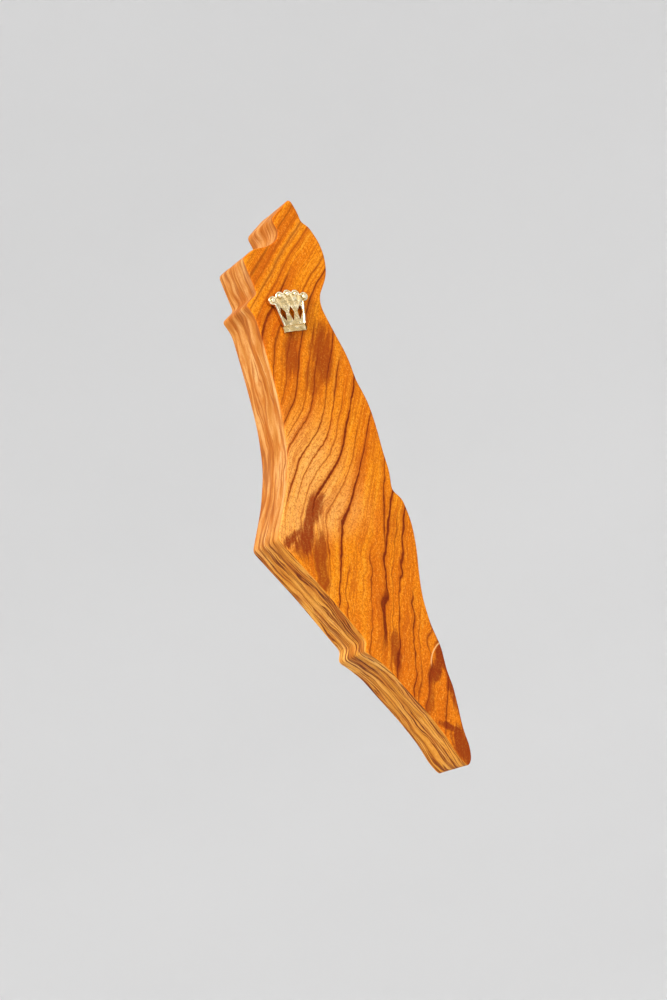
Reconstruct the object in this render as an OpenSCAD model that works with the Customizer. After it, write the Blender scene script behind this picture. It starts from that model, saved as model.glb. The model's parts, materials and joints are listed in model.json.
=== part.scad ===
// Wall-hung mezuzah case: a thick olive-wood slab sawn to an irregular outline, with a scroll
// cavity behind a screwed cover in its back, two keyhole slots to hang it by, and a cast metal
// crown ornament on its front.
//
// Frame: +Z up, -Y out of the front face, +Y into the wall. The back face lies in the plane
// Y = 0, and the origin is the centre of the upper keyhole's entry hole on that plane.

/* [Slab] */
// Thickness of the olive-wood slab
slab_t = 16; // [15:0.5:20]
// Segments in each rounded corner of the outline
corner_steps = 5; // [3:1:8]

/* [Scroll cavity] */
// Width of the cavity
cavity_w = 10; // [10:0.2:10.4]
// Depth of the cavity behind the cover
cavity_d = 10; // [9.6:0.2:10.4]
// Length of the cavity
cavity_l = 71.5; // [66:0.5:72]

/* [Cover] */
// Thickness of the cover, which lies flush with the back face
cover_t = 2; // [1.8:0.1:2.2]
// Overlap of the cover past each long side of the cavity
cover_lap = 2; // [1.8:0.1:2]
// Length of the cover past each end of the cavity, which holds one screw
cover_end = 8; // [7:0.5:8]
// Gap between the cover and its rebate, all round
cover_gap = 0.25; // [0.15:0.05:0.3]

/* [Scroll] */
// Height of the parchment, which is the length of the rolled scroll
scroll_l = 60; // [50:1:62]
// Outer radius of the rolled parchment
scroll_r = 4; // [3.4:0.1:4.1]
// Number of turns in the roll
scroll_turns = 5; // [4:1:6]
// Thickness of the parchment
parchment_t = 0.35; // [0.25:0.05:0.4]

/* [Cover screws] */
// Length of each screw, head included
screw_l = 8; // [7:0.5:9]
// Outer radius of the thread
screw_r = 1; // [0.9:0.05:1.1]
// Radius of the countersunk head
screw_head_r = 1.9; // [1.8:0.05:2.1]

/* [Keyhole slots] */
// Radius of the entry hole and of the pocket behind the slot
key_r = 3.2; // [3:0.1:3.3]
// Half the width of the slot
key_slot_r = 1.7; // [1.6:0.05:1.9]
// Thickness of the wood that a screw head hooks behind
key_lip = 2.5; // [2.2:0.1:3]
// Whole depth of the keyhole
key_depth = 6; // [5.5:0.5:7]
// Travel from the entry hole up to the end of the slot
key_travel = 5; // [4.5:0.5:5.5]
// Distance between the two keyholes
key_pitch = 105; // [105:1:106]

/* [Crown] */
// Thickness of the cast crown
crown_t = 2.4; // [1.8:0.1:3]
// Angle that the crown leans clockwise from upright, seen from the front
crown_lean = 6; // [0:1:10]

/* [Hidden] */

$fn = 48;
bite = 0.5;                     // how far a cutting shape runs past the face that it opens
cavity_x = -3.5;                // the cavity's and the cover's centre line
cavity_top = -13.5;
cavity_bottom = cavity_top - cavity_l;
cover_w = cavity_w + 2 * cover_lap;
cover_top = cavity_top + cover_end;
cover_bottom = cavity_bottom - cover_end;
cover_r = 2.5;                  // corner radius of the cover
screw_inset = 3.8;              // screw centre to the end of the cover
screw_zs = [cover_bottom + screw_inset, cover_top - screw_inset];
slot_w = 0.5;                   // screwdriver slot across each head
slot_deep = 0.6;
screw_play = 0.12;              // radial gap round a screw, in the cover and in the wood
sink_r = screw_head_r + 0.15;   // countersink that each screw's head lies in
sink_flat = 0.3;
sink_cone = 1.05;
thumb_r = 3;                    // notch that a fingernail lifts the cover by
scroll_y = -cover_t - cavity_d / 2;
scroll_z = cavity_bottom + 0.7;
sleeve_gap = 0.08;
sleeve_t = 0.25;
sleeve_over = 1.2;              // length of sleeve past each end of the scroll
crown_x = -3.6;                 // middle of the crown
crown_z = -8.9;
crown_bottom = -5.8;            // the crown's own heights, from its middle
crown_top = 4.5;
band_w = 6.8;                   // plain band along the foot of the crown
band_top = -4.1;
relief_t = 0.6;                 // height of the band and the beads over the pierced plate
scallop_r = 1.3;                // round lobes along the top edge
scallop_pitch = 2.35;
scallop_drop = 0.32;
bead_r = 0.7;
lozenge_w = 1.5;
lozenge_l = 4;
stud_r = 0.7;
stud_l = 2.4;
stud_play = 0.05;
stud_xs = [-2.6, 2.6];          // studs, from the crown's own centre line
stud_z = -4.9;

// Outline of the slab seen from the front, clockwise from its top: [x, z, corner size].
outline = [
    [8.8, 21.4, 1.2], [9.8, 17.0, 2.0], [9.8, 14.2, 0.8], [11.5, 12.6, 1.2],
    [13.0, 7.8, 3.0], [13.1, 3.3, 3.0], [11.7, -1.8, 3.0], [7.3, -6.8, 1.4],
    [6.6, -10.0, 1.6], [7.6, -16.6, 4.0], [9.1, -24.8, 4.0], [9.0, -31.5, 1.5],
    [10.2, -38.0, 3.0], [10.0, -45.0, 4.0], [9.2, -52.5, 3.0], [9.0, -57.8, 2.0],
    [7.7, -62.8, 1.2], [9.8, -65.8, 1.3], [10.1, -72.5, 3.0], [8.8, -79.5, 3.0],
    [6.8, -86.0, 3.0], [5.2, -92.5, 3.0], [4.7, -100.0, 1.5], [5.3, -106.6, 1.5],
    [4.5, -113.0, 1.2], [4.6, -117.5, 1.2], [4.0, -122.5, 2.0], [3.0, -129.0, 2.0],
    [3.1, -133.8, 1.6], [2.2, -137.3, 1.3], [0.4, -138.9, 1.2], [-1.5, -135.0, 1.6],
    [-2.9, -129.0, 2.0], [-5.8, -121.4, 2.0], [-9.8, -113.0, 2.0], [-12.0, -108.0, 1.4],
    [-14.6, -104.2, 1.2], [-17.2, -101.2, 0.7], [-15.6, -98.6, 0.7], [-17.6, -94.0, 2.0],
    [-22.8, -81.6, 3.0], [-30.2, -66.2, 1.0], [-23.6, -56.0, 3.0], [-19.0, -46.5, 4.0],
    [-16.4, -36.0, 4.0], [-15.2, -26.0, 4.0], [-14.2, -14.4, 4.0], [-13.8, -8.0, 3.0],
    [-15.2, -4.2, 0.6], [-10.9, -2.0, 0.5], [-11.4, 8.3, 0.7], [-7.0, 10.2, 2.0],
    [-3.4, 9.8, 1.6], [0.4, 10.8, 1.6], [1.9, 13.0, 1.6], [1.1, 17.0, 1.0],
];

// Points of a quadratic curve that rounds the corner at b, between its neighbours a and c.
function corner(a, b, c, size) =
    let (ab = norm(a - b), cb = norm(c - b), reach = min(size, ab * 0.48, cb * 0.48),
         p = b + (a - b) * reach / ab, q = b + (c - b) * reach / cb)
    [for (i = [0:corner_steps]) let (t = i / corner_steps)
        p * (1 - t) ^ 2 + b * 2 * t * (1 - t) + q * t ^ 2];

function rounded(points) =
    let (n = len(points))
    [for (i = [0:n - 1])
        let (a = points[(i + n - 1) % n], b = points[i], c = points[(i + 1) % n])
        each corner([a.x, a.y], [b.x, b.y], [c.x, c.y], b[2])];

// Stands a shape drawn in X and Z on the plane at y, with its thickness running to -Y.
module upright(y, thickness) {
    translate([0, y, 0]) rotate([90, 0, 0]) linear_extrude(thickness) children();
}

// A round bar along Y, from y back to y - length.
module bar_y(x, y, z, r, length) {
    translate([x, y, z]) rotate([90, 0, 0]) cylinder(r = r, h = length);
}

module round_box(w, bottom, top, r) {
    for (x = [-w / 2 + r, w / 2 - r], z = [bottom + r, top - r])
        translate([x, z]) circle(r);
    translate([-w / 2, bottom + r]) square([w, top - bottom - 2 * r]);
    translate([-w / 2 + r, bottom]) square([w - 2 * r, top - bottom]);
}

module keyhole(z) {
    bar_y(0, bite, z, key_r, key_depth + bite);
    upright(bite, key_lip + 2 * bite) {
        translate([-key_slot_r, z]) square([2 * key_slot_r, key_travel]);
        translate([0, z + key_travel]) circle(key_slot_r);
    }
    upright(-key_lip, key_depth - key_lip) {
        translate([-key_r, z]) square([2 * key_r, key_travel]);
        translate([0, z + key_travel]) circle(key_r);
    }
}

module cover_rebate() {
    translate([cavity_x, 0, 0]) {
        upright(bite, cover_t + bite)
            round_box(cover_w + 2 * cover_gap, cover_bottom - cover_gap,
                      cover_top + cover_gap, cover_r + cover_gap);
        upright(bite, cover_t + bite + cavity_d)
            round_box(cavity_w, cavity_bottom, cavity_top, 2);
        for (z = screw_zs)
            bar_y(0, bite, z, screw_r + screw_play, screw_l + 2 + bite);
    }
}

module crown_frame() {
    translate([crown_x, -slab_t, crown_z]) rotate([0, crown_lean, 0]) children();
}

module case_body() {
    color("peru") difference() {
        upright(0, slab_t) polygon(rounded(outline));
        cover_rebate();
        for (z = [0, -key_pitch]) keyhole(z);
        crown_frame()
            for (x = stud_xs)
                bar_y(x, stud_l + 0.2, stud_z, stud_r + stud_play, stud_l + 0.2 + bite);
    }
}

// Centre of one scallop along the crown's arched top edge, counted from the middle one.
function scallop(i) = [i * scallop_pitch, crown_top - scallop_drop * i ^ 2];

// A pierced opening, long and narrow, pointed at both ends.
module lozenge(x, angle) {
    translate([x, -0.9]) rotate(-angle)
        polygon([[0, -lozenge_l / 2], [lozenge_w / 2, 0.3], [0, lozenge_l / 2], [-lozenge_w / 2, 0.3]]);
}

module crown_shape() {
    polygon([[-band_w / 2, crown_bottom], [band_w / 2, crown_bottom], [band_w / 2, band_top],
             scallop(2), scallop(1), scallop(0), scallop(-1), scallop(-2), [-band_w / 2, band_top]]);
    for (i = [-2:2]) translate(scallop(i)) circle(scallop_r);
}

module crown_emblem() {
    color("gold") crown_frame() {
        upright(0, crown_t - relief_t) difference() {
            crown_shape();
            for (i = [-1:1]) lozenge(i * 2.5, i * 14);
        }
        upright(relief_t - crown_t, relief_t)
            translate([-band_w / 2, crown_bottom]) square([band_w, band_top - crown_bottom]);
        for (i = [-2:2])
            bar_y(scallop(i).x, relief_t - crown_t, scallop(i).y, bead_r, relief_t);
        for (x = stud_xs) bar_y(x, stud_l, stud_z, stud_r, stud_l + relief_t);
    }
}

module back_cover() {
    color("sienna") difference() {
        translate([cavity_x, 0, 0]) upright(0, cover_t)
            round_box(cover_w, cover_bottom, cover_top, cover_r);
        for (z = screw_zs) {
            bar_y(cavity_x, bite, z, screw_r + screw_play, cover_t + 2 * bite);
            bar_y(cavity_x, bite, z, sink_r, bite + sink_flat);
            translate([cavity_x, -sink_flat, z]) rotate([90, 0, 0])
                cylinder(r1 = sink_r, r2 = screw_r + screw_play, h = sink_cone);
        }
        bar_y(cavity_x, bite, cover_bottom, thumb_r, bite + cover_t / 2);
    }
}

// Half of a countersunk wood screw's outline: radius and depth below the head's flat face.
function screw_profile() =
    let (core = screw_r * 0.72, pitch = 0.9, cone = screw_head_r - screw_r,
         start = cone + 0.9, turns = floor((screw_l - start - 1.6) / pitch))
    concat([[0, 0], [screw_head_r, 0], [screw_head_r, -0.15], [screw_r * 0.85, -cone - 0.25]],
           [for (i = [0:turns]) let (z = -start - i * pitch)
               each [[core, z], [screw_r, z - pitch * 0.45], [core, z - pitch * 0.6]]],
           [[0, -screw_l]]);

module cover_screw(z, slot_angle) {
    color("darkgoldenrod") translate([cavity_x, -0.1, z]) rotate([-90, 0, 0]) difference() {
        rotate_extrude() polygon(screw_profile());
        rotate(slot_angle)
            translate([-screw_head_r - bite, -slot_w / 2, -slot_deep])
                cube([2 * (screw_head_r + bite), slot_w, slot_deep + bite]);
    }
}

// Cross-section of the rolled parchment: one thin strip wound inwards.
function spiral(outward) =
    let (steps = scroll_turns * 24, pitch = 0.62)
    [for (i = [0:steps])
        let (a = i * 15, r = scroll_r - parchment_t / 2 - pitch * (scroll_turns - i / 24)
                 + outward * parchment_t / 2)
        [r * cos(a), r * sin(a)]];

module parchment_scroll() {
    color("blanchedalmond") translate([cavity_x, scroll_y, scroll_z + sleeve_over])
        linear_extrude(scroll_l)
            polygon(concat(spiral(1), [for (i = [len(spiral(-1)) - 1:-1:0]) spiral(-1)[i]]));
}

module scroll_sleeve() {
    inner = scroll_r + sleeve_gap;
    length = scroll_l + 2 * sleeve_over;
    color("aliceblue", 0.5) translate([cavity_x, scroll_y, scroll_z]) difference() {
        cylinder(r = inner + sleeve_t, h = length);
        translate([0, 0, -bite]) cylinder(r = inner, h = length + 2 * bite);
    }
}

case_body();
crown_emblem();
back_cover();
cover_screw(screw_zs[1], 62);  // cover_screw_upper
cover_screw(screw_zs[0], 17);  // cover_screw_lower
parchment_scroll();
scroll_sleeve();
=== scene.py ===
import json
import math

import bmesh
import bpy
from mathutils import Matrix, Vector, noise


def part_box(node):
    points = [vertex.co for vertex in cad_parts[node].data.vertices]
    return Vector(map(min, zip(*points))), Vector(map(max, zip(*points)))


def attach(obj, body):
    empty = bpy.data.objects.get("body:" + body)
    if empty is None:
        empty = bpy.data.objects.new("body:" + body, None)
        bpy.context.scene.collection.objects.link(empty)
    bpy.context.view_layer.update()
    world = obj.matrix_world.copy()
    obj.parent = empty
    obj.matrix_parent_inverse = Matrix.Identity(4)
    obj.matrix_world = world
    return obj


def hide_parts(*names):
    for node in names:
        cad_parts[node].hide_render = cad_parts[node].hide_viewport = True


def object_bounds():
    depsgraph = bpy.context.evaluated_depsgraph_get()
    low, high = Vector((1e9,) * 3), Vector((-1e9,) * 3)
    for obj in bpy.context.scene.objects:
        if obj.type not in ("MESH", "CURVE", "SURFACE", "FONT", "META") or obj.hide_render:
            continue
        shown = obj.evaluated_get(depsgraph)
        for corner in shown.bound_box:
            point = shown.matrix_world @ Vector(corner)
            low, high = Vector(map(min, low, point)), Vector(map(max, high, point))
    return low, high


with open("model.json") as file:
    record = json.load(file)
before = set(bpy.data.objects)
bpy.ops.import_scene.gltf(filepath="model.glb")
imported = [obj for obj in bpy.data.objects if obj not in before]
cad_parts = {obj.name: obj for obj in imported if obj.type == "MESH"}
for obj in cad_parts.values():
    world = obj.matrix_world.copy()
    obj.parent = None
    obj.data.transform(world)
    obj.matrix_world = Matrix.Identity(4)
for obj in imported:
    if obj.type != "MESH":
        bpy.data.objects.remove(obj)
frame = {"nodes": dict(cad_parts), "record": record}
cad_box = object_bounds()
nodes = frame["nodes"]
mounts = {m["name"]: m for m in frame["record"]["mounts"]}

MM = 0.001
OVER = 1 * MM
TOUCHING = 0.01 * MM

# Camera: sees the case from its left, a little below, and tilted
AZIMUTH, ELEVATION, TILT = -30, -5, 20
LENS, DISTANCE = 85, 0.63
AIM_RIGHT, AIM_UP = 0.002, -0.0008

# Lights: parts of the direction along the camera's back, right and up, then distance, size, power and colour
LIGHTS = {
    "key": ((0.8, -1.0, 0.7), 1.1, 0.6, 15, (1.0, 0.98, 0.95)),
    "fill": ((1.0, 0.8, 0.2), 1.3, 1.0, 4, (0.95, 0.97, 1.0)),
}
SKY_POWER = 1.3

# Floor: radius and height of each ring of the bowl, and how far its middle lies below the origin
FLOOR_RINGS = ((0, 0), (0.5, 0), (1.0, 0), (1.5, 0.02), (1.8, 0.1), (2.1, 0.3), (2.3, 0.6), (2.4, 1.0),
               (2.4, 3.4))
FLOOR_STEPS = 96
FLOOR_DOWN = 0.42
FLOOR_COLOUR, FLOOR_ROUGH = (0.73, 0.73, 0.732), 0.9

# Slab
RING_STEP = 0.4 * MM
FRONT_ROUND, FRONT_STEPS = 0.5 * MM, 4
BACK_ROUND, BACK_STEPS = 0.4 * MM, 3
SIDE_STEPS = 12
FACE_RIM = 1.2
WAVE, WAVE_LONG, WAVE_FADE = 0.07 * MM, 5 * MM, 2 * MM

# Hollows in the back of the slab
COVER_GAP = 0.25 * MM
COVER_LAP = 2 * MM
COVER_END = 8 * MM
COVER_CORNER = 2.5 * MM
CAVITY_CORNER = 2 * MM
CAVITY_DEEP = 12 * MM
PILOT_R, PILOT_PAST = 1.12 * MM, 2 * MM
KEY_SLOT = 1.7 * MM
KEY_LIP = 2.5 * MM
KEY_DEEP = 6 * MM
KEY_TRAVEL = 5 * MM
KEY_OVERLAP = 0.1 * MM

# Crown, measured across and up from its middle, and out from the slab
CROWN_X, CROWN_Z, CROWN_LEAN = -3.6 * MM, -8.9 * MM, 6
CROWN_STEP = 0.12 * MM
PLATE_T = 1.8 * MM
CROWN_T = 2.4 * MM
CROWN_EDGE = ((0.05, 0.0), (0, 0.06), (0, 0.7), (0, 1.35), (0.06, 1.6), (0.18, 1.75), (0.34, 1.8),
              (0.5, 1.74), (0.58, 1.6), (0.64, 1.48), (0.74, 1.45))
OPENING_TALL = 2 * MM
OPENING_FLARE = 0.22 * MM
BAND_HALF, BAND_LOW, BAND_HIGH = 3.4 * MM, -5.8 * MM, -4.1 * MM
BAND_RIBS, RIB_STEPS, BAND_AROUND = 13, 8, 12
LOBE_PITCH, LOBE_TOP, LOBE_DROP = 2.35 * MM, 4.5 * MM, 0.32 * MM
BEAD_R, BEAD_ROOT, BEAD_FOOT = 0.7 * MM, 1.2 * MM, 1.6 * MM
STUD_SINK = 0.2 * MM

# Cover and screws
COVER_EASE = 0.3 * MM
SINK_R, SINK_FLAT, SINK_CONE = 2.05 * MM, 0.3 * MM, 1.05 * MM
THUMB_R, THUMB_DEEP = 3 * MM, 1 * MM
HEAD_R, HEAD_EDGE, HEAD_CONE = 1.9 * MM, 0.15 * MM, 1.15 * MM
SHANK_R, CORE_R, CREST_R = 0.85 * MM, 0.72 * MM, 1.0 * MM
PITCH, POINT_L = 0.9 * MM, 1.6 * MM
SLOT_HALF, SLOT_DEEP = 0.25 * MM, 0.6 * MM
SLOT_TURNS = {"cover_screw_upper": 62, "cover_screw_lower": 17}

# Scroll and its clear sleeve: radii at the middle of the sheet
ROLL_INNER, ROLL_OUTER, ROLL_TURNS, PARCHMENT_T = 0.72 * MM, 3.8 * MM, 5, 0.3 * MM
ROLL_RAGGED, ROLL_RIPPLE = 0.7 * MM, 0.06 * MM
FILM_INNER, FILM_OUTER, FILM_TURNS, FILM_T = 4.15 * MM, 4.29 * MM, 1.07, 0.08 * MM
FILM_RAGGED, FILM_RIPPLE = 0.1 * MM, 0.03 * MM
TURN_STEPS, SHEET_ROWS = 60, 30


# ---- Camera, light and floor ----

def look_axes(azimuth, elevation, tilt):
    """The camera's right, up and back axes."""
    a, e = math.radians(azimuth), math.radians(elevation)
    back = Vector((math.sin(a) * math.cos(e), -math.cos(a) * math.cos(e), math.sin(e)))
    right = Vector((math.cos(a), math.sin(a), 0))
    roll = Matrix.Rotation(math.radians(-tilt), 3, back)
    return roll @ right, roll @ back.cross(right), back


def make_camera():
    right, up, back = look_axes(AZIMUTH, ELEVATION, TILT)
    low, high = cad_box
    target = (low + high) / 2 + right * AIM_RIGHT + up * AIM_UP
    data = bpy.data.cameras.new("camera")
    data.lens = LENS
    camera = bpy.data.objects.new("camera", data)
    axes = Matrix((right, up, back)).transposed()
    camera.matrix_world = Matrix.Translation(target + back * DISTANCE) @ axes.to_4x4()
    bpy.context.scene.collection.objects.link(camera)
    bpy.context.scene.camera = camera
    return right, up, back, target


def make_light(name, towards, target, distance, size, power, colour):
    """A soft square light, towards being the direction from the case to it."""
    data = bpy.data.lights.new(name, "AREA")
    data.size = size
    data.energy = power
    data.color = colour
    lamp = bpy.data.objects.new(name, data)
    direction = towards.normalized()
    lamp.location = target + direction * distance
    lamp.rotation_mode = "QUATERNION"
    lamp.rotation_quaternion = direction.to_track_quat("Z", "Y")
    bpy.context.scene.collection.objects.link(lamp)


def make_stage(right, up, back, target):
    """A pale bowl of a floor, so high that no view sees its rim, and soft light from the front left."""
    mesh = bmesh.new()
    previous = None
    for r, z in FLOOR_RINGS:
        ring = []
        for i in range(FLOOR_STEPS if r else 1):
            a = math.tau * i / FLOOR_STEPS
            ring.append(mesh.verts.new((r * math.cos(a), r * math.sin(a), z - FLOOR_DOWN)))
        if previous:
            join_rings(mesh, previous, ring)
        previous = ring
    floor = to_object(mesh, "floor")
    floor.data.shade_smooth()
    floor.data.materials.append(plain_material("pale_floor", FLOOR_COLOUR, FLOOR_ROUGH))
    world = bpy.data.worlds.new("studio")
    world.use_nodes = True
    sky = world.node_tree.nodes["Background"]
    sky.inputs["Color"].default_value = (1.0, 1.0, 1.0, 1)
    sky.inputs["Strength"].default_value = SKY_POWER
    bpy.context.scene.world = world
    for name, (parts, distance, size, power, colour) in LIGHTS.items():
        towards = back * parts[0] + right * parts[1] + up * parts[2]
        make_light(name, towards, target, distance, size, power, colour)


# ---- Mesh helpers ----

def to_object(mesh, name):
    """A new object from a bmesh, which this frees."""
    bmesh.ops.recalc_face_normals(mesh, faces=mesh.faces)
    data = bpy.data.meshes.new(name)
    mesh.to_mesh(data)
    mesh.free()
    made = bpy.data.objects.new(name, data)
    bpy.context.scene.collection.objects.link(made)
    return made


def shade(piece, angle):
    """Smooth shading, apart from edges sharper than angle in degrees."""
    piece.data.shade_smooth()
    mesh = bmesh.new()
    mesh.from_mesh(piece.data)
    for edge in mesh.edges:
        if len(edge.link_faces) == 2:
            edge.smooth = edge.calc_face_angle(0) < math.radians(angle)
    mesh.to_mesh(piece.data)
    mesh.free()


def join_rings(mesh, near, far):
    """Faces between two rings of points, either of which may be a single point."""
    for i in range(max(len(near), len(far))):
        j = i + 1
        corners = []
        for vert in (near[i % len(near)], near[j % len(near)], far[j % len(far)], far[i % len(far)]):
            if vert not in corners:
                corners.append(vert)
        mesh.faces.new(corners)


def combine(piece, others, operation):
    """Cuts the others out of the piece with DIFFERENCE, or joins them to it with UNION."""
    for other in others:
        step = piece.modifiers.new("combine", "BOOLEAN")
        step.operation, step.solver, step.object = operation, "EXACT", other
    graph = bpy.context.evaluated_depsgraph_get()
    result = bpy.data.meshes.new_from_object(piece.evaluated_get(graph))
    piece.modifiers.clear()
    piece.data = result
    for other in others:
        bpy.data.objects.remove(other)


def loft(sections, name="tool"):
    """A closed solid through loops of (x, z) points, each at its own y."""
    mesh = bmesh.new()
    rings = [[mesh.verts.new((x, y, z)) for x, z in points] for points, y in sections]
    for near, far in zip(rings, rings[1:]):
        join_rings(mesh, near, far)
    mesh.faces.new(rings[0])
    mesh.faces.new(rings[-1])
    return to_object(mesh, name)


def prism(points, y_from, y_to):
    """A straight prism along Y, on a loop of (x, z) points."""
    return loft([(points, y_from), (points, y_to)])


def lathe(profile, x, z, name="tool", steps=32):
    """A solid turned about the line along Y through x and z, from (radius, y) pairs that start and end on it.

    A radius may be a function of the angle."""
    mesh = bmesh.new()
    previous = None
    for r, y in profile:
        ring = []
        for i in range(steps if r else 1):
            a = math.tau * i / steps
            here = r(a) if callable(r) else r
            ring.append(mesh.verts.new((x + here * math.cos(a), y, z + here * math.sin(a))))
        if previous:
            join_rings(mesh, previous, ring)
        previous = ring
    return to_object(mesh, name)


def round_rect(low_x, high_x, low_z, high_z, r, steps=8):
    corners = ((high_x - r, low_z + r, 270), (high_x - r, high_z - r, 0),
               (low_x + r, high_z - r, 90), (low_x + r, low_z + r, 180))
    return [(x + r * math.cos(math.radians(start + 90 * i / steps)),
             z + r * math.sin(math.radians(start + 90 * i / steps)))
            for x, z, start in corners for i in range(steps + 1)]


def slot_shape(x, low_z, high_z, r, steps=16):
    return round_rect(x - r, x + r, low_z - r, high_z + r, r * 0.999, steps)


def loops_at(node, y):
    """The loops of (x, z) points round a CAD node's flat face at y, longest loop first."""
    mesh = bmesh.new()
    mesh.from_mesh(nodes[node].data)
    mesh.transform(nodes[node].matrix_world)
    bmesh.ops.remove_doubles(mesh, verts=mesh.verts, dist=0.002 * MM)
    # A dict keeps the faces in mesh order, so that every run starts each loop at the same point
    on_face = dict.fromkeys(f for f in mesh.faces if all(abs(v.co.y - y) < TOUCHING for v in f.verts))
    following = {}
    for face in on_face:
        for loop in face.loops:
            if not any(f in on_face for f in loop.edge.link_faces if f is not face):
                following[loop.vert] = loop.link_loop_next.vert
    loops = []
    while following:
        start = vert = next(iter(following))
        points = []
        while vert in following:
            points.append((vert.co.x, vert.co.z))
            vert = following.pop(vert)
        loops.append(points)
    mesh.free()
    return sorted(loops, key=lambda p: min(z for x, z in p) - max(z for x, z in p))


def even(points, step):
    """The same loop with points one step apart."""
    count = len(points)
    ends = [0.0]
    for i in range(count):
        ends.append(ends[-1] + math.dist(points[i], points[(i + 1) % count]))
    total = round(ends[-1] / step)
    out, i = [], 0
    for k in range(total):
        at = ends[-1] * k / total
        while ends[i + 1] < at:
            i += 1
        t = (at - ends[i]) / max(ends[i + 1] - ends[i], 1e-9)
        a, b = points[i], points[(i + 1) % count]
        out.append((a[0] + (b[0] - a[0]) * t, a[1] + (b[1] - a[1]) * t))
    return out


def relax(points, times):
    """Evens out a loop's small corners."""
    count = len(points)
    for _ in range(times):
        points = [tuple(0.25 * points[i - 1][k] + 0.5 * points[i][k] + 0.25 * points[(i + 1) % count][k]
                        for k in (0, 1)) for i in range(count)]
    return points


def inset(points, amount):
    """A loop moved inwards by amount, in small steps so that tight corners don't cross over."""
    count = len(points)
    area = sum(points[i - 1][0] * points[i][1] - points[i][0] * points[i - 1][1] for i in range(count))
    side = 1 if area > 0 else -1
    steps = max(1, math.ceil(amount / (0.15 * MM)))
    for _ in range(steps):
        moved = []
        for i in range(count):
            a, b = points[i - 1], points[(i + 1) % count]
            dx, dz = b[0] - a[0], b[1] - a[1]
            size = math.hypot(dx, dz) or 1.0
            moved.append((points[i][0] - side * dz / size * amount / steps,
                          points[i][1] + side * dx / size * amount / steps))
        points = relax(moved, 1)
    return points


# ---- Slab ----

def slab_profile(front, back):
    """Pairs of inset and y, from the back face round the side to the front face."""
    pairs = [(BACK_ROUND * FACE_RIM, back)]
    for i in range(BACK_STEPS + 1):
        a = math.radians(90 * i / BACK_STEPS)
        pairs.append((BACK_ROUND * (1 - math.sin(a)), back - BACK_ROUND * (1 - math.cos(a))))
    for i in range(1, SIDE_STEPS):
        pairs.append((0, back - BACK_ROUND + (front + FRONT_ROUND - back + BACK_ROUND) * i / SIDE_STEPS))
    for i in range(FRONT_STEPS + 1):
        a = math.radians(90 * i / FRONT_STEPS)
        pairs.append((FRONT_ROUND * (1 - math.cos(a)), front + FRONT_ROUND * (1 - math.sin(a))))
    pairs.append((FRONT_ROUND * FACE_RIM, front))
    return pairs


def profiled(outline, pairs, name):
    """A loft on one outline, moved inwards by each inset in turn."""
    loops = {depth: inset(outline, depth) if depth > 0 else outline for depth, y in pairs}
    return loft([(loops[depth], y) for depth, y in pairs], name)


def make_slab():
    low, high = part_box("case_body")
    outline = relax(even(loops_at("case_body", low.y)[0], RING_STEP), 2)
    slab = profiled(outline, slab_profile(low.y, high.y), "olive_slab")
    wave_sides(slab, low.y, high.y)
    combine(slab, slab_hollows(), "DIFFERENCE")
    shade(slab, 40)
    return slab


def wave_sides(slab, front, back):
    """Hand sanding leaves the sawn sides very slightly wavy."""
    normals = [v.normal.copy() for v in slab.data.vertices]
    for v, normal in zip(slab.data.vertices, normals):
        inside = min(v.co.y - front, back - v.co.y)
        if inside > TOUCHING:
            fade = min(1.0, inside / WAVE_FADE)
            push = noise.noise(v.co / WAVE_LONG) * WAVE * fade
            v.co += Vector((normal.x, 0, normal.z)) * (push - WAVE * fade)


def slab_hollows():
    low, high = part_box("back_cover")
    middle = (low.x + high.x) / 2
    wide = (high.x - low.x) / 2
    cutters = [
        prism(round_rect(low.x - COVER_GAP, high.x + COVER_GAP, low.z - COVER_GAP, high.z + COVER_GAP,
                         COVER_CORNER + COVER_GAP), OVER, low.y),
        prism(round_rect(middle - wide + COVER_LAP, middle + wide - COVER_LAP, low.z + COVER_END,
                         high.z - COVER_END, CAVITY_CORNER), OVER, -CAVITY_DEEP)]
    for screw in SLOT_TURNS:
        tip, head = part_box(screw)
        z = (tip.z + head.z) / 2
        cutters.append(prism(slot_shape(middle, z, z, PILOT_R), OVER, tip.y - PILOT_PAST))
    for name in ("upper_keyhole", "lower_keyhole"):
        x, _, z = mounts[name]["pos_m"]
        r = mounts[name]["dims"]["r_mm"] * MM
        cutters.append(prism(slot_shape(x, z, z, r, 24), OVER, -KEY_LIP - KEY_OVERLAP))
        cutters.append(prism(slot_shape(x, z, z + KEY_TRAVEL, KEY_SLOT), OVER, -KEY_LIP - KEY_OVERLAP))
        cutters.append(prism(slot_shape(x, z, z + KEY_TRAVEL, r, 24), -KEY_LIP, -KEY_DEEP))
    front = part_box("case_body")[0].y
    for x, z, r in studs():
        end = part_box("crown_emblem")[1].y + STUD_SINK
        cutters.append(lathe([(0, front - OVER), (r, front - OVER), (r, end), (0, end)], x, z))
    return cutters


# ---- Crown ----

def crown_frame():
    """From the crown's own across, out and up to the scene."""
    turn = Matrix.Rotation(math.radians(CROWN_LEAN), 4, "Y")
    return Matrix.Translation((CROWN_X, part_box("case_body")[0].y, CROWN_Z)) @ turn


def studs():
    """Centre and radius of each round stud that the crown stands on."""
    loops = loops_at("crown_emblem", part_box("crown_emblem")[1].y)
    found = []
    for points in loops:
        x = sum(p[0] for p in points) / len(points)
        z = sum(p[1] for p in points) / len(points)
        found.append((x, z, math.dist((x, z), points[0])))
    return found


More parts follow.
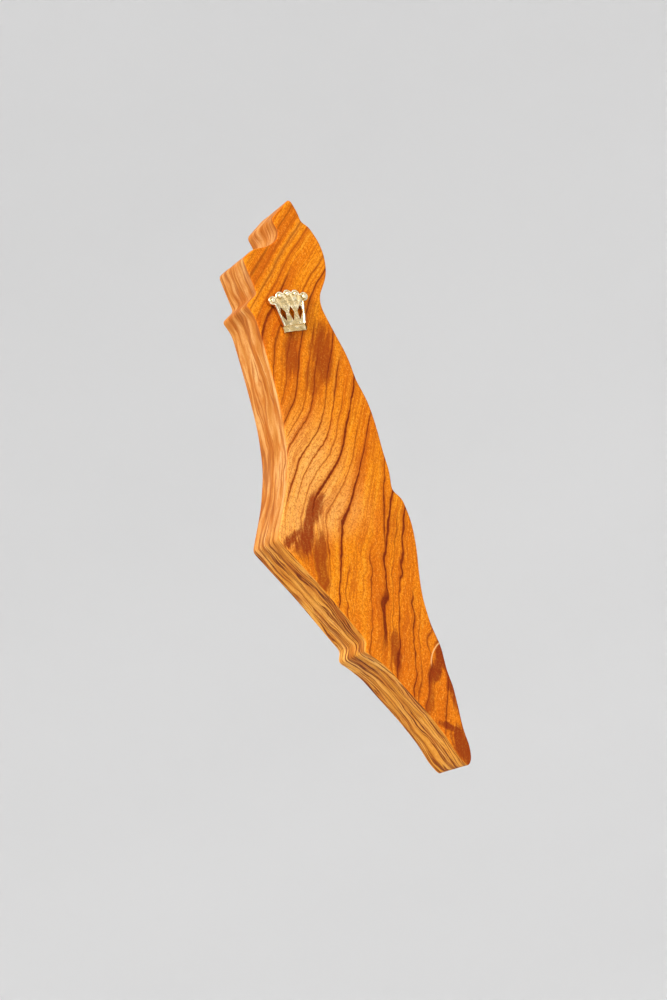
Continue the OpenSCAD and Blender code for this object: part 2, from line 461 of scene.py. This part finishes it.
def crown_band():
    """The reeded bar along the crown's foot, in the crown's own frame."""
    mesh = bmesh.new()
    across, around = BAND_RIBS * RIB_STEPS, BAND_AROUND
    foot = -PLATE_T * 0.5
    middle, half = (BAND_LOW + BAND_HIGH) / 2, (BAND_HIGH - BAND_LOW) / 2
    previous = None
    for i in range(across + 1):
        u = BAND_HALF * (2 * i / across - 1)
        rib = abs(math.sin(math.pi * BAND_RIBS * i / across))
        end = min(1.0, (BAND_HALF - abs(u)) / (0.25 * MM))
        ring = [mesh.verts.new((u, foot, middle - half)), mesh.verts.new((u, foot, middle + half))]
        for j in range(around + 1):
            a = math.pi * j / around
            out = (CROWN_T - PLATE_T) * (0.35 + 0.65 * math.sin(a)) * (0.72 + 0.28 * rib) * (0.4 + 0.6 * end)
            ring.append(mesh.verts.new((u, -PLATE_T - out, middle + half * math.cos(a))))
        if previous:
            join_rings(mesh, previous, ring)
        else:
            mesh.faces.new(ring)
        previous = ring
    mesh.faces.new(previous)
    return to_object(mesh, "tool")


def make_crown():
    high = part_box("crown_emblem")[1]
    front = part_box("case_body")[0].y
    place_in = crown_frame()
    loops = loops_at("crown_emblem", front)
    outline = relax(even(loops[0], CROWN_STEP), 1)
    crown = profiled(outline, [(depth * MM, front - height * MM) for depth, height in CROWN_EDGE], "crown")
    openings = []
    for points in loops[1:]:
        if max(z for x, z in points) - min(z for x, z in points) > OPENING_TALL:
            narrow = relax(even(points, CROWN_STEP), 1)
            wide = inset(narrow, -OPENING_FLARE)
            sections = [(narrow, front + 0.5 * MM), (narrow, front - 1.1 * MM), (wide, front - 2.2 * MM)]
            openings.append(loft(sections))
    combine(crown, openings, "DIFFERENCE")
    band = crown_band()
    band.data.transform(place_in)
    extras = [band]
    for i in range(-2, 3):
        at = place_in @ Vector((i * LOBE_PITCH, 0, LOBE_TOP - LOBE_DROP * i * i))
        dome = [(0, at.y - BEAD_ROOT), (BEAD_R, at.y - BEAD_ROOT)]
        for j in range(7):
            a = math.radians(90 * j / 6)
            y = at.y - BEAD_FOOT - (CROWN_T - BEAD_FOOT) * math.sin(a)
            dome.append((BEAD_R * math.cos(a) if j < 6 else 0, y))
        extras.append(lathe(dome, at.x, at.z, steps=24))
    for x, z, r in studs():
        r *= 0.999
        extras.append(lathe([(0, front - 1 * MM), (r, front - 1 * MM), (r, high.y - 0.2 * MM),
                             (r * 0.8, high.y), (0, high.y)], x, z, steps=24))
    combine(crown, extras, "UNION")
    shade(crown, 45)
    return crown


# ---- Cover and screws ----

def make_cover():
    low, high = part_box("back_cover")
    outline = even(round_rect(low.x, high.x, low.z, high.z, COVER_CORNER), RING_STEP)
    ease = COVER_EASE
    pairs = [(ease * 0.5, low.y), (0, low.y + ease * 0.5), (0, -ease), (ease * 0.14, -ease * 0.5),
             (ease * 0.5, -ease * 0.14), (ease, high.y), (ease * 1.3, high.y)]
    cover = profiled(outline, pairs, "back_panel")
    middle = (low.x + high.x) / 2
    tools = []
    for screw in SLOT_TURNS:
        tip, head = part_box(screw)
        z = (tip.z + head.z) / 2
        hole = [(0, OVER), (SINK_R, OVER), (SINK_R, -SINK_FLAT), (PILOT_R, -SINK_FLAT - SINK_CONE),
                (PILOT_R, low.y - OVER), (0, low.y - OVER)]
        tools.append(lathe(hole, middle, z))
    dish = [(0, OVER), (THUMB_R, OVER), (THUMB_R, -THUMB_DEEP * 0.55), (THUMB_R * 0.93, -THUMB_DEEP * 0.8),
            (THUMB_R * 0.75, -THUMB_DEEP * 0.95), (THUMB_R * 0.5, -THUMB_DEEP), (0, -THUMB_DEEP)]
    tools.append(lathe(dish, middle, low.z, steps=48))
    combine(cover, tools, "DIFFERENCE")
    shade(cover, 35)
    return cover


def thread_r(depth, length, angle):
    """Radius of the thread at a depth below the head, running out at both ends."""
    left = length - depth
    core = CORE_R * min(1.0, left / POINT_L) ** 0.7
    fade = min(1.0, (depth - HEAD_CONE) / (0.6 * MM)) * min(1.0, left / (0.7 * MM))
    place_on = (depth / PITCH - angle / math.tau) % 1
    tooth = max(0.0, 1 - abs(place_on - 0.5) / 0.27)
    return core + (CREST_R - CORE_R) * tooth * fade * min(1.0, 0.35 + left / POINT_L)


def make_screw(node, name):
    low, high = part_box(node)
    x, z = (low.x + high.x) / 2, (low.z + high.z) / 2
    length = high.y - low.y
    rings = [(0, high.y), (HEAD_R * 0.94, high.y), (HEAD_R, high.y - 0.05 * MM), (HEAD_R, high.y - HEAD_EDGE),
             (SHANK_R, high.y - HEAD_CONE)]
    count = math.ceil((length - HEAD_CONE) / (PITCH / 12))
    for i in range(1, count):
        depth = HEAD_CONE + (length - HEAD_CONE) * i / count
        rings.append(((lambda a, d=depth: thread_r(d, length, a)), high.y - depth))
    rings.append((0, low.y))
    screw = lathe(rings, x, z, name, 28)
    turn = math.radians(SLOT_TURNS[node])
    along = HEAD_R * 1.3
    corners = [(along, SLOT_HALF), (-along, SLOT_HALF), (-along, -SLOT_HALF), (along, -SLOT_HALF)]
    points = [(x + u * math.cos(turn) + v * math.sin(turn), z - u * math.sin(turn) + v * math.cos(turn))
              for u, v in corners]
    combine(screw, [prism(points, high.y + OVER, high.y - SLOT_DEEP)], "DIFFERENCE")
    shade(screw, 40)
    return screw


# ---- Scroll and sleeve ----

def rolled(name, node, inner, outer, turns, thick, ragged, ripple):
    """A thin sheet rolled up along Z in a CAD node's place, its ends uneven by ragged."""
    low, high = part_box(node)
    x, y = (low.x + high.x) / 2, (low.y + high.y) / 2
    count, rows = round(turns * TURN_STEPS), SHEET_ROWS
    mesh = bmesh.new()
    rings = []
    for row in range(rows + 1):
        t = row / rows
        ring = []
        for side in (1, -1):
            for i in range(count + 1)[::side]:
                s = i / count
                a = math.tau * turns * s
                spot = Vector((3 * math.cos(a), 3 * math.sin(a), t * 4))
                r = inner + (outer - inner) * s + side * thick / 2 + noise.noise(spot) * ripple
                end = (2 * t - 1) ** 7 * ragged * (0.6 + noise.noise(Vector((s * 9, a / 5, 1.0))))
                height = low.z + (high.z - low.z) * t - end
                ring.append(mesh.verts.new((x + r * math.cos(a), y + r * math.sin(a), height)))
        if rings:
            join_rings(mesh, rings[-1], ring)
        rings.append(ring)
    for ring in (rings[0], rings[-1]):
        for i in range(count):
            mesh.faces.new((ring[i], ring[i + 1], ring[-2 - i], ring[-1 - i]))
    piece = to_object(mesh, name)
    shade(piece, 50)
    return piece


# ---- Material helpers ----

class Field:
    """One number at every point of a surface. Sums and products of fields add Math nodes to the material."""

    def __init__(self, tree, socket):
        self.tree, self.socket = tree, socket

    def math(self, operation, *values):
        node = self.tree.nodes.new("ShaderNodeMath")
        node.operation = operation
        for socket, value in zip(node.inputs, (self, *values)):
            plug(self.tree, socket, value)
        return Field(self.tree, node.outputs[0])

    def __add__(self, other):
        return self.math("ADD", other)

    def __sub__(self, other):
        return self.math("SUBTRACT", other)

    def __mul__(self, other):
        return self.math("MULTIPLY", other)

    def __truediv__(self, other):
        return self.math("DIVIDE", other)

    def __abs__(self):
        return self.math("ABSOLUTE")

    def over(self, other):
        """The larger of two fields."""
        return self.math("MAXIMUM", other)

    def step(self, start, end, low=0.0, high=1.0):
        """Goes smoothly from low to high as this field goes from start to end."""
        node = self.tree.nodes.new("ShaderNodeMapRange")
        node.interpolation_type = "SMOOTHSTEP"
        for socket, value in zip(node.inputs, (self, start, end, low, high)):
            plug(self.tree, socket, value)
        return Field(self.tree, node.outputs[0])


def plug(tree, socket, value):
    if isinstance(value, Field):
        tree.links.new(value.socket, socket)
    else:
        socket.default_value = value


def place(tree, scale=1 / MM):
    """X, Y and Z over a surface, in millimetres."""
    spot = tree.nodes.new("ShaderNodeTexCoord")
    split = tree.nodes.new("ShaderNodeSeparateXYZ")
    tree.links.new(spot.outputs["Object"], split.inputs[0])
    return [Field(tree, out) * scale for out in split.outputs]


def facing(tree, axis):
    """How squarely a surface faces one of the object's axes, from -1 to 1."""
    spot = tree.nodes.new("ShaderNodeTexCoord")
    split = tree.nodes.new("ShaderNodeSeparateXYZ")
    tree.links.new(spot.outputs["Normal"], split.inputs[0])
    return Field(tree, split.outputs[axis])


def cloud(x, y, z, detail=2.0, rough=0.5):
    """Noise from 0 to 1, about one feature per unit."""
    tree = x.tree
    join = tree.nodes.new("ShaderNodeCombineXYZ")
    for socket, value in zip(join.inputs, (x, y, z)):
        plug(tree, socket, value)
    node = tree.nodes.new("ShaderNodeTexNoise")
    node.inputs["Scale"].default_value = 1.0
    node.inputs["Detail"].default_value = detail
    node.inputs["Roughness"].default_value = rough
    tree.links.new(join.outputs[0], node.inputs["Vector"])
    return Field(tree, node.outputs["Fac"])


def ramp(field, stops):
    """A colour for each value of a field, from (value, (r, g, b)) stops."""
    node = field.tree.nodes.new("ShaderNodeValToRGB")
    while len(node.color_ramp.elements) < len(stops):
        node.color_ramp.elements.new(0.5)
    for element, (at, colour) in zip(node.color_ramp.elements, stops):
        element.position = at
        element.color = (*colour, 1)
    plug(field.tree, node.inputs[0], field)
    return node.outputs[0]


def blend(field, first, second):
    """Mixes two colours, which are sockets or (r, g, b), by a field from 0 to 1."""
    node = field.tree.nodes.new("ShaderNodeMix")
    node.data_type = "RGBA"
    plug(field.tree, node.inputs["Factor"], field)
    for socket, value in ((node.inputs[6], first), (node.inputs[7], second)):
        if isinstance(value, tuple):
            socket.default_value = (*value, 1)
        else:
            field.tree.links.new(value, socket)
    return node.outputs[2]


def new_material(name):
    material = bpy.data.materials.new(name)
    material.use_nodes = True
    return material, material.node_tree, material.node_tree.nodes["Principled BSDF"]


def finish_material(tree, shader, colour=None, rough=None, bump=None, height=0.1 * MM):
    if colour is not None:
        tree.links.new(colour, shader.inputs["Base Color"])
    if rough is not None:
        plug(tree, shader.inputs["Roughness"], rough)
    if bump is not None:
        node = tree.nodes.new("ShaderNodeBump")
        node.inputs["Distance"].default_value = height
        plug(tree, node.inputs["Height"], bump)
        tree.links.new(node.outputs[0], shader.inputs["Normal"])


def plain_material(name, colour, rough):
    """The floor's: one pale colour with a trace of mottling."""
    material, tree, shader = new_material(name)
    x, y, z = place(tree, 1)
    tone = cloud(x * 3, y * 3, z * 3)
    darker = tuple(c * 0.97 for c in colour)
    finish_material(tree, shader, blend(tone, darker, colour), rough)
    return material


# ---- Olive wood ----

# Growth lines on the front: place across the grain, drift per mm down, width, darkness, top and bottom
LINES = (
    (-60.0, 0.00, 1.0, 0.40, 30, -10), (-56.5, 0.00, 0.5, 0.3, 30, -10), (-52.3, 0.00, 1.3, 0.5, 30, -6),
    (-48.6, 0.00, 0.5, 0.25, 30, -10), (-45.0, 0.00, 0.7, 0.45, 30, -14), (-41.2, 0.00, 0.5, 0.35, 30, -16),
    (-37.8, 0.00, 1.2, 0.9, 4, -24), (-33.3, 0.00, 0.6, 0.7, -2, -34), (-29.3, 0.00, 0.5, 0.5, 8, -38),
    (-25.6, 0.00, 0.7, 0.85, 12, -50), (-21.9, 0.00, 0.4, 0.5, -10, -54), (-19.3, 0.00, 0.45, 0.8, -20, -52),
    (-14.8, 0.00, 0.5, 0.9, -6, -62), (-11.9, 0.00, 0.45, 0.85, -22, -60), (-9.2, 0.00, 0.3, 0.5, -30, -66),
    (-6.3, 0.00, 0.6, 1.0, -24, -66), (-2.6, 0.00, 0.35, 0.5, -40, -92), (1.0, 0.00, 0.6, 1.0, -38, -99),
    (3.4, 0.02, 0.35, 0.7, -76, -104), (7.6, 0.22, 0.5, 0.85, -46, -80), (10.4, 0.03, 0.35, 0.7, -74, -112),
    (13.3, 0.05, 0.8, 1.0, -48, -104), (14.9, 0.02, 1.2, 0.95, -84, -104), (17.2, 0.02, 0.3, 0.5, -66, -118),
    (19.4, 0.02, 0.6, 0.95, -58, -126), (24.6, 0.05, 0.6, 0.95, -88, -122), (27.5, 0.0, 0.35, 0.6, -92, -130),
    (30.5, 0.0, 0.4, 0.6, -96, -132), (36.0, 0.0, 0.6, 0.8, -108, -140))

# Dark patches on the front: centre x, centre z, half width, half length, lean in degrees, darkness
PATCHES = (
    (1.8, -21.8, 3.2, 7.5, 24, 0.8), (-7.4, -20.5, 2.4, 6.5, 22, 0.7), (-3.4, -28.0, 2.2, 5.0, 24, 0.55),
    (-18.4, -63.0, 2.4, 7.0, 38, 0.95), (-22.0, -67.6, 3.0, 5.6, 34, 1.0), (-25.4, -66.4, 1.4, 4.6, 62, 1.0),
    (-19.4, -72.5, 2.6, 6.0, 26, 0.8), (-21.4, -79.5, 1.6, 5.0, 28, 0.8), (6.4, -100.5, 2.0, 8.0, 2, 1.0),
    (5.0, -108.5, 2.6, 5.0, 10, 1.0), (1.8, -111.5, 2.0, 5.4, 48, 1.0), (4.2, -119.5, 1.5, 9.0, 3, 1.0),
    (-0.6, -127.6, 1.0, 5.0, -47, 1.0), (1.0, -133.6, 3.4, 6.5, 0, 0.95), (-8.5, -104.5, 1.4, 6.5, 14, 0.8),
    (-4.0, -119.0, 1.6, 6.0, 30, 0.65))

# Growth layers, in mm: slope, depth down of each bend, its length and its reach, and shift through the slab
LAYER_SLOPE, LAYER_DOWN = 0.45, 54
BEND_DOWN, BEND_LONG, BEND_REACH = 52, 18, 5.4
RISE_DOWN, RISE_LONG, RISE_REACH = 8, 4, 3.4
SWING_REACH = 5.0
SLAB_THICK, SAWN_SHIFT = 16, -1.76

# Scratch: its middle across and down, and its radius
SCRATCH_X, SCRATCH_DOWN, SCRATCH_R = 7.4, 112.5, 7.4

# Wood colours, the last ones being stops from the darkest to the palest streaks
INK = (0.150, 0.014, 0.001)
HALO = (0.47, 0.092, 0.003)
STAIN = (0.23, 0.026, 0.002)
DUST = (0.38, 0.060, 0.002)
PALE_DUST = (0.98, 0.50, 0.07)
PALE_HEART = (0.90, 0.45, 0.115)
LOWER_RED = (0.66, 0.13, 0.002)
UPPER_RED = (0.60, 0.12, 0.002)
FIBRE_RED = (0.52, 0.10, 0.002)
FLECK_RED = (0.42, 0.070, 0.002)
SCRATCHED = (0.93, 0.52, 0.20)
SAWN_VEIN = (0.40, 0.10, 0.010)
SAWN_INK = (0.10, 0.013, 0.002)
SAWN_STRIPE = (0.15, 0.022, 0.002)
SAWN_CLOUD = (0.45, 0.12, 0.010)
SAWN_DUST = (0.34, 0.095, 0.014)
FRONT_TONES = ((0.34, (0.58, 0.115, 0.002)), (0.44, (0.77, 0.205, 0.002)), (0.54, (0.86, 0.28, 0.005)),
               (0.66, (0.93, 0.39, 0.035)))
# Stops for the sawn sides, paler and less saturated than the front: partly the sanded wood's own colour,
# partly painted light.
SAWN_UPPER = ((0.36, (0.37, 0.11, 0.012)), (0.45, (0.50, 0.19, 0.034)), (0.54, (0.59, 0.27, 0.075)),
              (0.66, (0.66, 0.37, 0.135)))
SAWN_LOWER = ((0.32, (0.50, 0.17, 0.012)), (0.46, (0.64, 0.26, 0.028)), (0.58, (0.71, 0.33, 0.060)),
              (0.70, (0.76, 0.41, 0.11)))
COVER_TONES = ((0.3, (0.33, 0.125, 0.035)), (0.45, (0.50, 0.225, 0.075)), (0.6, (0.60, 0.31, 0.12)),
               (0.75, (0.66, 0.38, 0.17)))


def grain(x, y, z):
    """The place across the grain, in mm: growth layers are where it is constant."""
    layers = z * LAYER_SLOPE + LAYER_SLOPE * LAYER_DOWN
    layers = layers + ((z + BEND_DOWN) / BEND_LONG).math("TANH") * BEND_REACH
    rise = ((z + RISE_DOWN) / RISE_LONG).math("EXPONENT") + 1
    layers = layers + rise.math("LOGARITHM", math.e) * RISE_REACH
    across = x - layers + (y + SLAB_THICK) * SAWN_SHIFT
    swing = x.step(-2, -18) * z.step(-80, -60) * z.step(-28, -46)
    return across + swing * SWING_REACH


def growth_lines(across, z, wide):
    """The dark core and the brown halo of the growth lines, each faded in and out along its length."""
    cores = halos = None
    for at, drift, width, dark, top, bottom in LINES:
        off = abs(across - at + (z - top) * drift) if drift else abs(across - at)
        off = off / wide
        here = z.step(top, top - 6) * z.step(bottom, bottom + 6)
        core = off.step(width * 0.62, width * 0.26, 0, dark) * here
        halo = off.step(width * 2.2, width * 0.4, 0, 0.4 + 0.4 * dark) * here
        cores = cores.over(core) if cores else core
        halos = halos.over(halo) if halos else halo
    return cores, halos


def patches(x, y, z, fray):
    """Dark stains on the front, whose edges fray along the grain."""
    shadow = None
    for px, pz, wide, long, lean, dark in PATCHES:
        c, s = math.cos(math.radians(lean)), math.sin(math.radians(lean))
        dx, dz = x - px, z - pz
        u = (dx * c - dz * s) / wide
        v = (dx * s + dz * c) / long
        blot = (u * u + v * v + fray).step(1.5, 0.3, 0, dark)
        shadow = shadow.over(blot) if shadow else blot
    return shadow * y.step(-9, -15)


def scratch(x, y, z):
    """A pale hairline that curves in from the right edge, low on the front."""
    dx, dz = x - SCRATCH_X, z + SCRATCH_DOWN
    line = abs((dx * dx + dz * dz).math("SQRT") - SCRATCH_R).step(0.26, 0.1, 0, 0.75)
    return line * z.step(-111, -109) * y.step(-15, -15.6)


def sawn_sides(x, y, z, speck):
    """Colour of the sawn sides, whose layers run along the edge: tan above, browner and striped below. Their
    pale, less saturated tan, above all on the upper sides, is partly the sanded wood's own colour and partly
    painted light.
    """
    lanes = y + x * 0.1 + (cloud(x / 16, y / 7, z / 13, 2, 0.5) - 0.5) * 6
    lanes = lanes + (cloud(x / 3, y / 2, z / 3, 2, 0.5) - 0.5) * 0.8
    low_side = z.step(-60, -72)
    streak = cloud(lanes / 1.8, x / 40, z / 30, 3, 0.5)
    mottle = cloud(lanes / 3.5, x / 12, z / 10, 3, 0.6)
    tone = streak * 0.5 + mottle * 0.5
    colour = blend(low_side, ramp(tone, SAWN_UPPER), ramp(tone, SAWN_LOWER))
    vein = abs(cloud(lanes / 2.6, x / 60, z / 60, 3, 0.55) - 0.5)
    second = abs(cloud(lanes / 1.7, x / 45, z / 45, 2, 0.5) - 0.46)
    fade = cloud(lanes / 5, x / 9, z / 14, 2).step(0.34, 0.46)
    colour = blend(vein.step(0.09, 0.01, 0, 0.7) * fade, colour, SAWN_VEIN)
    colour = blend(vein.step(0.032, 0.014) * fade * (low_side * 0.6 + 0.35), colour, SAWN_INK)
    colour = blend(second.step(0.03, 0.012) * low_side * 0.9, colour, SAWN_STRIPE)
    colour = blend(cloud(x / 4, y / 3, z / 5, 3, 0.6).step(0.5, 0.66, 0, 0.45), colour, SAWN_CLOUD)
    return blend(speck.step(0.5, 0.7, 0, 0.45), colour, SAWN_DUST)


def olive_wood():
    material, tree, shader = new_material("olive_wood")
    x, y, z = place(tree)
    calm = z.step(-84, -62)
    warp = cloud(x / 16, y / 9, z / 26, 2, 0.5)
    ripple = cloud(x / 3.0, y / 4, z / 8, 2, 0.5)
    across = grain(x, y, z) + (warp - 0.5) * 4.0 + (ripple - 0.5) * (calm * -1.2 + 1.9)
    across = across + (cloud(x / 6, y / 8, z / 9, 1, 0.5) - 0.5) * z.step(-62, -78, 0.4, 4.2)
    across = across + (cloud(x / 0.9, y / 2, z / 2.2, 1, 0.5) - 0.5) * 0.5
    wide = cloud(across / 5, y / 12, z / 14, 2, 0.6).step(0.3, 0.7, 0.45, 1.35)
    cores, halos = growth_lines(across, z, wide)
    speck = cloud(x * 2.9, y * 2.9, z * 2.4, 2, 0.75)
    fibre = cloud(across * 1.6, y / 3, z / 7, 3, 0.65)
    streak = cloud(across / 1.9, y / 14, z / 26, 3, 0.6)
    band = cloud(across / 6.5, y / 24, z / 50, 3, 0.55)
    hair = abs(cloud(across / 1.5, y / 30, z / 36, 4, 0.6) - 0.5).step(0.045, 0.01)
    hair = hair * cloud(across / 8, y / 20, z / 24, 2).step(0.4, 0.58)

    # The back is sawn across other layers, so its lines come from noise along the same grain
    off_front = y.step(-15.6, -14.6)
    vein = abs(cloud(across / 3.4, y / 40, z / 55, 3, 0.6) - 0.5)
    some = cloud(across / 6, y / 9, z / 20, 2)
    cores = cores * off_front.step(1, 0) + vein.step(0.028, 0.004, 0, 0.9) * some.step(0.42, 0.56) * off_front
    halos = halos * off_front.step(1, 0) + vein.step(0.10, 0.01, 0, 0.75) * some.step(0.36, 0.6) * off_front

    tone = ramp(band * 0.62 + streak * 0.38, FRONT_TONES)
    glow = x.step(4, -14) * z.step(-28, -50) * z.step(-74, -64)
    colour = blend(glow * fibre.step(0.3, 0.6, 0.45, 0.85), tone, PALE_HEART)
    colour = blend(z.step(-66, -120, 0, 0.5), colour, LOWER_RED)
    colour = blend(z.step(-12, -22) * z.step(-46, -28) * 0.35, colour, UPPER_RED)
    fleck = cloud(across * 3.2, y * 2, z * 1.1, 2, 0.7)
    colour = blend(fibre.step(0.48, 0.70, 0, 0.4), colour, FIBRE_RED)
    colour = blend(fleck.step(0.5, 0.66, 0, 0.5), colour, FLECK_RED)
    colour = blend(speck.step(0.47, 0.3, 0, 0.4), colour, PALE_DUST)
    colour = blend(hair * 0.6, colour, HALO)
    colour = blend(halos * (fibre.step(0.35, 0.6, 0.5, 1)), colour, HALO)
    fray = (cloud(across / 1.2, y / 4, z / 8, 4, 0.6) - 0.5) * 3.6
    blot = patches(x + (ripple - 0.5) * 4, y, z + (warp - 0.5) * 6, fray)
    colour = blend(blot * speck.step(0.3, 0.6, 0.75, 1), colour, STAIN)
    colour = blend(cores * speck.step(0.28, 0.5, 0.8, 1), colour, INK)
    colour = blend(speck.step(0.5, 0.66, 0, 0.55), colour, DUST)
    colour = blend(scratch(x, y, z), colour, SCRATCHED)
    # Faces turned away from the front and back take the sawn sides' paler colour: partly the sanded wood's
    # own tone, partly painted light.
    side = abs(facing(tree, 1)).step(0.75, 0.3)
    colour = blend(side, colour, sawn_sides(x, y, z, speck))
    rough = side * 0.12 + 0.42 + speck * 0.12
    finish_material(tree, shader, colour, rough, speck * 0.5 + fibre * 0.3 + cores * -0.5, 0.05 * MM)
    shader.inputs["Specular IOR Level"].default_value = 0.07
    return material


def cover_wood():
    """Plain straight-grained wood, sanded and oiled."""
    material, tree, shader = new_material("cover_wood")
    x, y, z = place(tree)
    warp = cloud(x / 10, y / 6, z / 60, 2)
    across = x + (warp - 0.5) * 3.5
    ring = cloud(across / 1.6, y / 5, z / 90, 3, 0.6)
    fibre = cloud(across * 3.2, y, z / 5, 3, 0.7)
    pore = cloud(x * 5, y * 3, z / 1.6, 1, 0.5)
    colour = ramp(ring, COVER_TONES)
    colour = blend(fibre.step(0.45, 0.75, 0, 0.45), colour, (0.28, 0.095, 0.024))
    colour = blend(pore.step(0.66, 0.78, 0, 0.6), colour, (0.13, 0.04, 0.012))
    finish_material(tree, shader, colour, fibre * 0.15 + 0.48, fibre * 0.5 - pore * 0.6, 0.04 * MM)
    shader.inputs["Specular IOR Level"].default_value = 0.3
    return material


# ---- Metals, parchment and film ----

def metal(name, light, dark, rough, cast, shaded_depths=None):
    """A polished metal with a trace of tarnish and, by cast, the soft lumps of a casting.

    Between the two values of y given last, the colour darkens further towards the dark colour: painted shade
    and dark reflection in the recessed field, on top of the random tarnish."""
    material, tree, shader = new_material(name)
    x, y, z = place(tree)
    tarnish = cloud(x / 1.4, y / 1.4, z / 1.4, 4, 0.6)
    grit = cloud(x * 4, y * 4, z * 4, 2, 0.6)
    tarnish_and_shade = tarnish.step(0.42, 0.7)
    # Painted shade and dark reflection: the recessed field between the two depths is darkened, beside the
    # random tarnish.
    if shaded_depths:
        tarnish_and_shade = tarnish_and_shade.over(y.step(*shaded_depths) * tarnish.step(0.3, 0.55, 0.35, 0.9))
    finish_material(tree, shader, blend(tarnish_and_shade, light, dark),
                    tarnish * 0.16 + grit * 0.06 + rough, tarnish * cast + grit * 0.12, 0.12 * MM)
    shader.inputs["Metallic"].default_value = 1.0
    return material


def parchment():
    """Blank kosher-style parchment: creamy skin with faint fibres and mottling, and no writing."""
    material, tree, shader = new_material("parchment")
    x, y, z = place(tree)
    mottle = cloud(x / 2.4, y / 2.4, z / 4.5, 4, 0.6)
    fibre = abs(cloud(x * 1.3, y * 1.3, z * 1.8, 4, 0.7) - 0.5).step(0.03, 0.0)
    colour = ramp(mottle, ((0.3, (0.60, 0.46, 0.26)), (0.5, (0.74, 0.62, 0.41)), (0.7, (0.80, 0.70, 0.51))))
    colour = blend(fibre * 0.3, colour, (0.50, 0.36, 0.18))
    finish_material(tree, shader, colour, mottle * 0.15 + 0.6, mottle * 0.5 + fibre * 0.3, 0.06 * MM)
    return material


def clear_film():
    """Clear sleeve film with faint smears."""
    material, tree, shader = new_material("clear_film")
    x, y, z = place(tree)
    smear = cloud(x / 3, y / 3, z / 9, 3, 0.5)
    finish_material(tree, shader, ramp(smear, ((0.3, (0.94, 0.97, 0.98)), (0.7, (0.99, 1.0, 1.0)))),
                    smear * 0.12 + 0.04, smear, 0.05 * MM)
    shader.inputs["Transmission Weight"].default_value = 1.0
    shader.inputs["IOR"].default_value = 1.2
    return material


# ---- Scene ----

scene_axes = make_camera()
make_stage(*scene_axes)
bpy.context.scene.view_settings.view_transform = "Standard"

brass = metal("screw_brass", (0.71, 0.50, 0.20), (0.46, 0.28, 0.09), 0.24, 0.15)
pieces = (
    (make_slab(), "case", "case_body", "olive_wood", olive_wood()),
    (make_crown(), "case", "crown_emblem", "crown_metal",
     # The last pair of depths darkens the crown's recessed field between its rims: painted shade and dark
     # reflection.
     metal("crown_metal", (0.96, 0.87, 0.62), (0.56, 0.38, 0.14), 0.08, 0.8, (-17.72, -17.4))),
    (make_cover(), "cover", "back_cover", "cover_wood", cover_wood()),
    (make_screw("cover_screw_upper", "upper_brass_screw"),
     "upper_screw", "cover_screw_upper", "screw_brass", brass),
    (make_screw("cover_screw_lower", "lower_brass_screw"),
     "lower_screw", "cover_screw_lower", "screw_brass", brass),
    (rolled("rolled_parchment", "parchment_scroll", ROLL_INNER, ROLL_OUTER, ROLL_TURNS, PARCHMENT_T,
            ROLL_RAGGED, ROLL_RIPPLE), "scroll", "parchment_scroll", "parchment", parchment()),
    (rolled("film_sleeve", "scroll_sleeve", FILM_INNER, FILM_OUTER, FILM_TURNS, FILM_T,
            FILM_RAGGED, FILM_RIPPLE), "scroll", "scroll_sleeve", "clear_film", clear_film()),
)
for piece, body, node, slot, material in pieces:
    piece.data.materials.clear()
    piece.data.materials.append(material)
    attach(piece, body)
    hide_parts(node)
